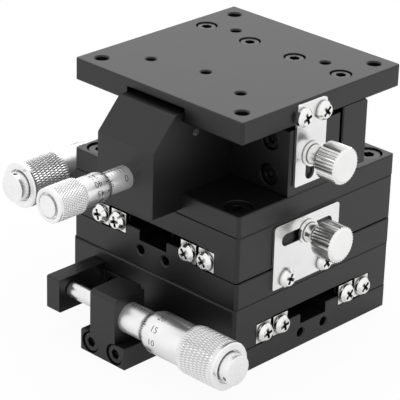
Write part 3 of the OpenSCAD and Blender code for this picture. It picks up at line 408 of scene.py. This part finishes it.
for finish, names in NODE_FINISH.items():
    for name in names:
        data = nodes[name].data
        data.materials.clear()
        data.materials.append(finish)


# ---- mesh helpers

def mesh_piece(name, verts, faces, finish, smooth_angle=None):
    """Object from points in millimetres; edges flatter than the angle are shaded smooth."""
    data = bpy.data.meshes.new(name)
    data.from_pydata([Vector(v) * MM for v in verts], [], faces)
    data.materials.append(finish)
    data.update()
    piece = bpy.data.objects.new(name, data)
    bpy.context.scene.collection.objects.link(piece)
    if smooth_angle:
        data.shade_smooth()
        data.set_sharp_from_angle(angle=math.radians(smooth_angle))
    return piece


def on_axis(place, u, r, angle):
    """Point at u along a head's axis, at a radius and an angle round it."""
    return place @ Vector((u, -r * math.cos(angle), r * math.sin(angle)))


def lathe(place, profile):
    """Verts and faces of a closed profile of (radius, u) turned about a head's axis."""
    verts, faces = [], []
    count = len(profile)
    for i in range(LATHE_STEPS):
        angle = 2 * math.pi * i / LATHE_STEPS
        verts += [on_axis(place, u, r, angle) for r, u in profile]
    for i in range(LATHE_STEPS):
        j = (i + 1) % LATHE_STEPS
        for k in range(count):
            m = (k + 1) % count
            faces.append((i * count + k, i * count + m, j * count + m, j * count + k))
    return verts, faces


def knurl(place, u0, u1, r_out, tooth, around, levels, r_in):
    """Ring with a diamond knurl: points at the even places of a half-pitch lattice, grooves
    along the diagonals through the odd ones."""
    verts, faces = [], []
    steps = 2 * around
    for m in range(-1, levels + 2):
        for k in range(steps):
            if m in (-1, levels + 1):
                r, u = r_in, (u0 if m < 0 else u1)
            else:
                u = u0 + (u1 - u0) * m / levels
                peak = (k + m) % 2 == 0 and 0 < m < levels
                r = r_out - (PEAK_DROP if peak else tooth)
            verts.append(on_axis(place, u, r, 2 * math.pi * k / steps))
    for m in range(levels + 2):
        for k in range(steps):
            n = (k + 1) % steps
            a, b = m * steps + k, m * steps + n
            c, d = (m + 1) * steps + n, (m + 1) * steps + k
            if m in (0, levels + 1):
                faces.append((a, b, c, d))
            elif (k + m - 1) % 2 == 0:
                faces += [(a, b, d), (b, c, d)]
            else:
                faces += [(a, b, c), (a, c, d)]
    return verts, faces


def wrapped(place, radius_at, shapes):
    """Flat shapes in (u, angle) laid round a head's axis just above its surface."""
    verts, faces = [], []
    for points, polygons in shapes:
        base = len(verts)
        verts += [on_axis(place, u, radius_at(u) + INK_LIFT, a) for u, a in points]
        faces += [tuple(base + i for i in polygon) for polygon in polygons]
    return verts, faces


def strip(points, pieces):
    """Points in pairs, joined to a strip of quads."""
    quads = [(2 * i, 2 * i + 1, 2 * i + 3, 2 * i + 2) for i in range(pieces)]
    return points, quads


def bar(u0, u1, angle, width, radius, pieces=4):
    """Line along the axis at an angle."""
    half = width / 2 / radius
    ends = [u0 + (u1 - u0) * i / pieces for i in range(pieces + 1)]
    return strip([(u, angle + s * half) for u in ends for s in (-1, 1)], pieces)


def arc(u, width, a0, a1, pieces=6):
    """Line round the axis."""
    angles = [a0 + (a1 - a0) * i / pieces for i in range(pieces + 1)]
    return strip([(u + s * width / 2, a) for a in angles for s in (-1, 1)], pieces)


def digits(text, height, u, angle, radius):
    """A plain number, read along the axis with its foot towards smaller angles. It is cut across
    its height, so that it can bend round the surface."""
    curve = bpy.data.curves.new("number", "FONT")
    curve.body = text
    curve.size = height / DIGIT_SHARE
    curve.offset = DIGIT_THINNER * height
    curve.resolution_u = DIGIT_CURVE_STEPS
    holder = bpy.data.objects.new("number", curve)
    bpy.context.scene.collection.objects.link(holder)
    bpy.context.view_layer.update()
    evaluated = holder.evaluated_get(bpy.context.evaluated_depsgraph_get())
    data = bpy.data.meshes.new_from_object(evaluated)
    cut = bmesh.new()
    cut.from_mesh(data)
    for k in range(DIGIT_CUTS):
        bmesh.ops.bisect_plane(
            cut,
            geom=cut.verts[:] + cut.edges[:] + cut.faces[:],
            plane_co=(0, height * (k + 0.5) / DIGIT_CUTS, 0),
            plane_no=(0, 1, 0),
        )
    cut.to_mesh(data)
    cut.free()
    points = [(u + v.co.x, angle + (v.co.y - height / 2) / radius) for v in data.vertices]
    polygons = [tuple(p.vertices) for p in data.polygons]
    bpy.data.objects.remove(holder)
    bpy.data.curves.remove(curve)
    bpy.data.meshes.remove(data)
    return points, polygons


NEARLY_UPRIGHT = 0.1


def sweep(path, radius, sides):
    """Verts and faces of a round wire along a path, open at its two ends."""
    verts, faces = [], []
    last = len(path) - 1
    for i, p in enumerate(path):
        along = (path[min(i + 1, last)] - path[max(i - 1, 0)]).normalized()
        side = along.cross(Vector((0, 0, 1)))
        if side.length < NEARLY_UPRIGHT:
            side = along.cross(Vector((1, 0, 0)))
        side.normalize()
        up = side.cross(along)
        for k in range(sides):
            a = 2 * math.pi * k / sides
            verts.append(p + radius * (math.cos(a) * side + math.sin(a) * up))
    for i in range(last):
        for k in range(sides):
            n = (k + 1) % sides
            faces.append((i * sides + k, i * sides + n, (i + 1) * sides + n, (i + 1) * sides + k))
    return verts, faces


# ---- micrometers

def shell_profile(s):
    """Closed outline (radius, u) of a thimble without the knurl's teeth."""
    start, ring_at = s["start"], s["start"] + s["smooth"]
    end = ring_at + s["ring_l"]
    r_bore, r_barrel, r_ring = s["bore"] / 2, s["barrel"] / 2, s["ring"] / 2
    r_lip = r_bore + s["lip"]
    r_core = r_ring - s["tooth"] - CORE_UNDER_TEETH
    r_neck, r_rim = r_barrel - NECK_DEPTH, r_ring - RIM_DROP
    r_recess, r_shaft = s["recess"] / 2, s["shaft"] / 2
    recess_at = end - CAP_RECESS
    return [
        (r_bore, start), (r_lip - FRONT_EDGE, start), (r_lip, start + FRONT_EDGE),
        (r_barrel, start + s["bevel"]), (r_barrel, ring_at - NECK_FROM),
        (r_neck, ring_at - NECK_TO), (r_neck, ring_at),
        (r_core, ring_at + CORE_FROM), (r_core, end - RIM_WIDTH),
        (r_rim, end - RIM_WIDTH), (r_rim, end - RIM_CHAMFER_U), (r_ring - RIM_CHAMFER_R, end),
        (r_recess + RECESS_CHAMFER, end), (r_recess, end - RECESS_CHAMFER),
        (r_recess, recess_at), (r_shaft, recess_at),
        (r_shaft, recess_at - SHAFT_HOLE), (r_bore, recess_at - SHAFT_HOLE),
    ]


def thimble_marks(s, phase):
    """Ticks of the thimble, with a number at each fifth."""
    start, radius = s["start"], s["barrel"] / 2
    shapes = []
    for i in range(DIVISIONS):
        angle = phase + (i - PHASE_DIVISION) * 2 * math.pi / DIVISIONS
        numbered = i % NUMBER_EVERY == 0
        reach = s["tick_long"] if numbered else s["tick_short"]
        shapes.append(bar(start + s["tick_from"], start + reach, angle, s["tick_w"], radius))
        if numbered:
            shapes.append(digits(str(i), s["digit"], start + s["digit_at"], angle, radius))
    return shapes


def sleeve_marks(s):
    """Long line on top of the sleeve, with whole millimetres on one side of it and halves on the
    other."""
    radius = s["sleeve"] / 2
    top = math.pi / 2
    line_end = s["zero"] + s["scale_mm"] + LINE_PAST_SCALE
    shapes = [bar(s["sleeve_from"], line_end, top, LINE_W, radius, LINE_PIECES)]
    for i in range(2 * s["scale_mm"] + 1):
        u = s["zero"] + i / 2
        numbered, whole = i % HALF_MM_PER_NUMBER == 0, i % 2 == 0
        length = MARK_FIVE_MM if numbered else MARK_MM if whole else MARK_HALF_MM
        sign = 1 if whole else -1
        shapes.append(arc(u, MARK_W, top, top + sign * length / radius))
        if numbered:
            angle = top + s["zero_off"] / radius
            shapes.append(digits(str(i // 2), s["digit"], u - NUMBER_BACK, angle, radius))
    return shapes


def make_micrometer(letter, s, fixed_body, finish):
    place = MIC_FRAMES[letter]
    body = letter + "_thimble"
    start, ring_at = s["start"], s["start"] + s["smooth"]
    end = ring_at + s["ring_l"]
    r_lip, r_barrel, r_ring = s["bore"] / 2 + s["lip"], s["barrel"] / 2, s["ring"] / 2
    r_sleeve = s["sleeve"] / 2

    turned = lathe(place, shell_profile(s))
    shell = mesh_piece(letter + "_thimble_shell", *turned, finish, SHELL_SMOOTH)
    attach(shell, body)
    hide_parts(letter + "_thimble")

    r_in = r_ring - s["tooth"] - CORE_UNDER_TEETH - KNURL_UNDER_CORE
    teeth = knurl(
        place, ring_at, end - KNURL_STOP, r_ring, s["tooth"], s["around"], s["levels"], r_in
    )
    grip = mesh_piece(letter + "_thimble_knurl", *teeth, knurled)
    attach(grip, body)
    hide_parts(letter + "_thimble")

    def thimble_surface(u):
        share = min(max((u - start) / s["bevel"], 0), 1)
        return r_lip + (r_barrel - r_lip) * share

    shapes = thimble_marks(s, math.radians(PHASE[letter]))
    marks = mesh_piece(
        letter + "_thimble_marks", *wrapped(place, thimble_surface, shapes), ink
    )
    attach(marks, body)

    scale = mesh_piece(
        letter + "_sleeve_marks", *wrapped(place, lambda u: r_sleeve, sleeve_marks(s)), ink
    )
    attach(scale, fixed_body)


make_micrometer("x", XY, "x_base", barrel_x)
make_micrometer("y", XY, "middle", barrel_y)
make_micrometer("z", Z, "y_table", barrel_y)


# ---- return springs

def loop_round(pin, outward, side):
    """Open loop of wire round a pin, its opening towards the coil."""
    points = []
    for i in range(ARC_STEPS):
        a = math.radians(LOOP_DEGREES * (i / (ARC_STEPS - 1) - 0.5))
        points.append(pin + LOOP_R * (math.cos(a) * outward + math.sin(a) * side))
    return points


def make_spring(node, pin_a, pin_b, shortens):
    """Extension spring between two pins, with a loop round each. Its turns close up when the pins
    have come nearer by what it shortens."""
    along = (pin_b - pin_a).normalized()
    across = Vector((0, 0, 1)) if abs(along.z) < 0.5 else Vector((0, 1, 0))
    side = along.cross(across)
    up = side.cross(along)
    length = (pin_b - pin_a).length - 2 * LOOP_R
    turns = math.floor((length - shortens) / (2 * WIRE_R + TURN_GAP))
    steps = turns * ARC_STEPS
    r = SPRING_R - WIRE_R
    path = loop_round(pin_a, -along, side)
    for i in range(steps + 1):
        a = 2 * math.pi * i / ARC_STEPS
        centre = pin_a + along * (LOOP_R + length * i / steps)
        path.append(centre + r * (math.cos(a) * side + math.sin(a) * up))
    path += loop_round(pin_b, along, side)
    wound = sweep(path, WIRE_R, WIRE_SIDES)
    coil = mesh_piece(node + "_coil", *wound, spring_wire, COIL_SMOOTH)
    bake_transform(coil)
    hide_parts(node)


def pins_of(node, axis):
    """Where a spring's two pins stand, the lower one along the axis first."""
    low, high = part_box(node)
    first = (low + high) / 2 / MM
    second = first.copy()
    first[axis] = low[axis] / MM + PIN_IN
    second[axis] = high[axis] / MM - PIN_IN
    return first, second


low_pin, high_pin = pins_of("x_spring", 0)
make_spring("x_spring", low_pin, high_pin, TRAVEL_XY / 2)
low_pin, high_pin = pins_of("y_spring", 1)
make_spring("y_spring", high_pin, low_pin, TRAVEL_XY / 2)
low_pin, high_pin = pins_of("z_spring", 2)
make_spring("z_spring", low_pin, high_pin, Z_BELOW_REST)


# ---- stage, light and camera

def seen_white(tree, mirrored=1.0):
    """Share of rays that show a background: 1 from the camera, and mirrored in gloss or glass."""
    path = add(tree, "ShaderNodeLightPath")
    total = path.outputs["Is Camera Ray"]
    for other in ("Is Glossy Ray", "Is Transmission Ray"):
        share = add(tree, "ShaderNodeMath", operation="MULTIPLY")
        share.inputs[1].default_value = mirrored
        tree.links.new(path.outputs[other], share.inputs[0])
        most = add(tree, "ShaderNodeMath", operation="MAXIMUM")
        tree.links.new(total, most.inputs[0])
        tree.links.new(share.outputs[0], most.inputs[1])
        total = most.outputs[0]
    return total


floor_mat, tree, bsdf = new_material("pale_floor")
bsdf.inputs["Base Color"].default_value = (*grey(FLOOR_GREY), 1)
bsdf.inputs["Roughness"].default_value = FLOOR_ROUGHNESS
glow = add(tree, "ShaderNodeEmission")
share = add(tree, "ShaderNodeMath", operation="MULTIPLY")
share.inputs[1].default_value = FLOOR_GLOW
blend = add(tree, "ShaderNodeMixShader")
tree.links.new(seen_white(tree, FLOOR_MIRRORED), share.inputs[0])
tree.links.new(share.outputs[0], blend.inputs["Fac"])
tree.links.new(bsdf.outputs[0], blend.inputs[1])
tree.links.new(glow.outputs[0], blend.inputs[2])
tree.links.new(blend.outputs[0], tree.nodes["Material Output"].inputs["Surface"])

corners = [(sx * HALF_FLOOR, sy * HALF_FLOOR, 0) for sx, sy in ((-1, -1), (1, -1), (1, 1), (-1, 1))]
floor = mesh_piece("floor", corners, [(0, 1, 2, 3)], floor_mat)

world = bpy.data.worlds.new("studio")
bpy.context.scene.world = world
world.use_nodes = True
tree = world.node_tree
sky = tree.nodes["Background"]
brightness = remap(tree, seen_white(tree), SKY_LIGHT, 1.0, 0, 1)
tree.links.new(brightness, sky.inputs["Strength"])
sky.inputs["Color"].default_value = (1, 1, 1, 1)


def softbox(name, direction, distance, size, radiance):
    """Square lamp of a given brightness, turned to the object."""
    light = bpy.data.lights.new(name, "AREA")
    light.shape = "SQUARE"
    light.size = size
    light.energy = radiance * math.pi * size * size
    lamp = bpy.data.objects.new(name, light)
    bpy.context.scene.collection.objects.link(lamp)
    lamp.location = AIM + Vector(direction).normalized() * distance
    lamp.rotation_euler = (lamp.location - AIM).to_track_quat("Z", "Y").to_euler()


softbox("overhead", direction=(-0.3, 0.35, 0.85), distance=0.8, size=0.4, radiance=3.0)
softbox("back_light", direction=(-0.63, 0.66, 0.43), distance=1.0, size=0.5, radiance=0.5)

az, el, roll = (math.radians(v) for v in (AZIMUTH, ELEVATION, ROLL))
forward = Vector((-math.sin(az) * math.cos(el), math.cos(az) * math.cos(el), -math.sin(el)))
right = Vector((math.cos(az), math.sin(az), 0))
upward = right.cross(forward)
turned_right = math.cos(roll) * right + math.sin(roll) * upward
turned_up = -math.sin(roll) * right + math.cos(roll) * upward
lens = bpy.data.cameras.new("photo_camera")
lens.sensor_fit = "HORIZONTAL"
lens.sensor_width = SENSOR_MM
lens.lens = FOCAL_PX / PHOTO_PX * SENSOR_MM
lens.clip_start = 0.01
lens.clip_end = 20
camera = bpy.data.objects.new("photo_camera", lens)
bpy.context.scene.collection.objects.link(camera)
pose = Matrix((turned_right, turned_up, -forward)).transposed().to_4x4()
pose.translation = Vector(CAMERA_MM) * MM
camera.matrix_world = pose
bpy.context.scene.camera = camera
bpy.context.scene.view_settings.view_transform = "Standard"
